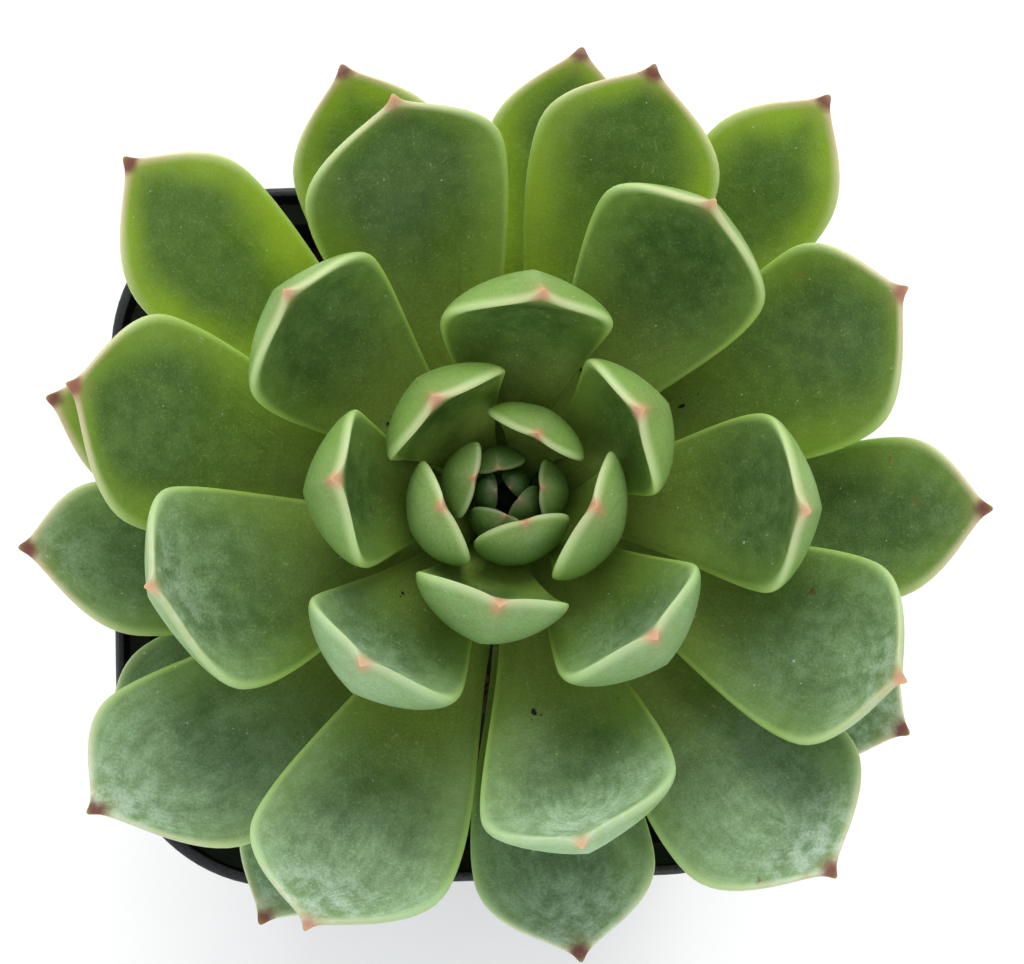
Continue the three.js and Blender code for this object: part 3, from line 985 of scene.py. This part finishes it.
def build_leaf(age, material, draw):
    leaf = Leaf(age)
    bm = bmesh.new()
    bmesh.ops.create_uvsphere(bm, u_segments=LEAF["around"], v_segments=LEAF["rows"], radius=1)
    places = []
    for v in bm.verts:
        u = min(1, max(0, (1 - v.co.z) / 2))
        ring = math.hypot(v.co.x, v.co.y)
        pole = ring < 1e-5
        across, lift = (0, 1) if pole else (v.co.x / ring, v.co.y / ring)
        v.co = leaf.point(u, across, lift, pole)
        half = leaf.half_at(u)
        sunk = 0 if lift > 0 else leaf.thick * thickness_at(u) * lift
        from_edge = math.hypot(half * (1 - abs(across)), sunk)
        from_tip = math.hypot((1 - u) * leaf.length, half * across) / leaf.small
        places.append((from_edge / leaf.small, u, smooth(lift, 0.12, -0.2), from_tip))
    name = leaf_name(age)
    piece = finished(bm, f"fleshy_{name}", material, [name], sharp=80)
    tint = leaf_tint_and_light(leaf, draw)
    for attribute, values in (("leaf_place", places), ("leaf_tint_and_light", [tint] * len(places))):
        layer = piece.data.attributes.new(attribute, "FLOAT_COLOR", "POINT")
        layer.data.foreach_set("color", [part for value in values for part in value])


def build_leaves():
    draw = random.Random(5)
    scars = []
    for age, u, across, radius, colour in SCARS:
        scars.append((Leaf(age).point(u, across, ON_FACE), radius, tone(*colour)))
    material = LeafSkin().painted(scars)
    for age in range(len(LEAVES)):
        build_leaf(age, material, draw)


def build_grit(peat):
    """Crumbs of peat that watering left on the leaves, a large one and two small ones in each place."""
    draw = random.Random(23)
    bm = bmesh.new()
    for age, u, across, size in GRIT:
        leaf = Leaf(age)
        for share in (1.3, 0.5, 0.4):
            spot = leaf.point(u + draw.uniform(-0.03, 0.03), across + draw.uniform(-0.09, 0.09), ON_FACE)
            turn = Matrix.Rotation(draw.uniform(0, math.tau), 4, "Z") @ Matrix.Rotation(draw.random(), 4, "Y")
            long = size * share
            stretch = Matrix.Diagonal((long * draw.uniform(0.8, 1.2), long * 0.5, long * 0.4, 1))
            rough_lump(bm, long, Matrix.Translation(spot) @ turn, stretch, draw)
    finished(bm, "peat_crumbs", peat, sharp=20)


# ---- the stage ----------------------------------------------------------------------------------


def build_floor():
    """A pale sheet, a hair under the pot so that the two faces don't fall together."""
    bm = bmesh.new()
    bmesh.ops.create_grid(bm, x_segments=8, y_segments=8, size=1.6)
    bmesh.ops.translate(bm, vec=(0, 0, -0.2 * MM), verts=bm.verts)
    mesh = bpy.data.meshes.new("studio_floor")
    bm.to_mesh(mesh)
    bm.free()
    mesh.materials.append(floor_paper())
    floor = bpy.data.objects.new("studio_floor", mesh)
    bpy.context.scene.collection.objects.link(floor)


def soft_light(name, place, target, size, watts, colour):
    lamp = bpy.data.lights.new(name, "AREA")
    lamp.shape, lamp.size, lamp.energy, lamp.color = "DISK", size, watts, colour
    light = bpy.data.objects.new(name, lamp)
    light.location = place
    light.rotation_euler = (Vector(target) - Vector(place)).to_track_quat("-Z", "Y").to_euler()
    bpy.context.scene.collection.objects.link(light)


def build_lights():
    middle = (0.005, 0.001, 0.1)
    soft_light("window_back", (0.12, 0.75, 0.62), middle, 0.8, 7.4, (1, 0.99, 0.97))
    soft_light("window_left", (-0.8, -0.1, 0.42), middle, 0.8, 2.6, (0.96, 0.98, 1))
    soft_light("fill_front", (0.35, -0.75, 0.6), middle, 0.9, 3.5, (0.97, 0.99, 1))
    world = bpy.data.worlds.new("pale_room")
    world.use_nodes = True
    room = world.node_tree.nodes["Background"]
    room.inputs["Color"].default_value = (0.96, 0.98, 1, 1)
    room.inputs["Strength"].default_value = 0.66
    bpy.context.scene.world = world


def build_camera():
    """Looks down on the rosette, a little from the front."""
    elevation, roll = math.radians(83), math.radians(1.8)
    target, distance = Vector((0.0062, 0.0055, 0.080)), 0.365
    level = Vector((math.sin(roll), math.cos(roll), 0))
    forward = level * math.cos(elevation) - Vector((0, 0, math.sin(elevation)))
    right = Vector((level.y, -level.x, 0))
    upward = right.cross(forward)
    data = bpy.data.cameras.new("overhead")
    data.lens, data.sensor_width = 100.1, 36
    data.clip_start, data.clip_end = 0.01, 20
    camera = bpy.data.objects.new("overhead", data)
    axes = Matrix((right, upward, -forward)).transposed().to_4x4()
    camera.matrix_world = Matrix.Translation(target - forward * distance) @ axes
    bpy.context.scene.collection.objects.link(camera)
    bpy.context.scene.camera = camera


damp_peat = damp_mix()
build_pot()
build_mix(damp_peat)
build_chips()
build_stem()
build_leaves()
build_grit(damp_peat)
build_floor()
build_lights()
build_camera()
bpy.context.scene.view_settings.view_transform = "Standard"
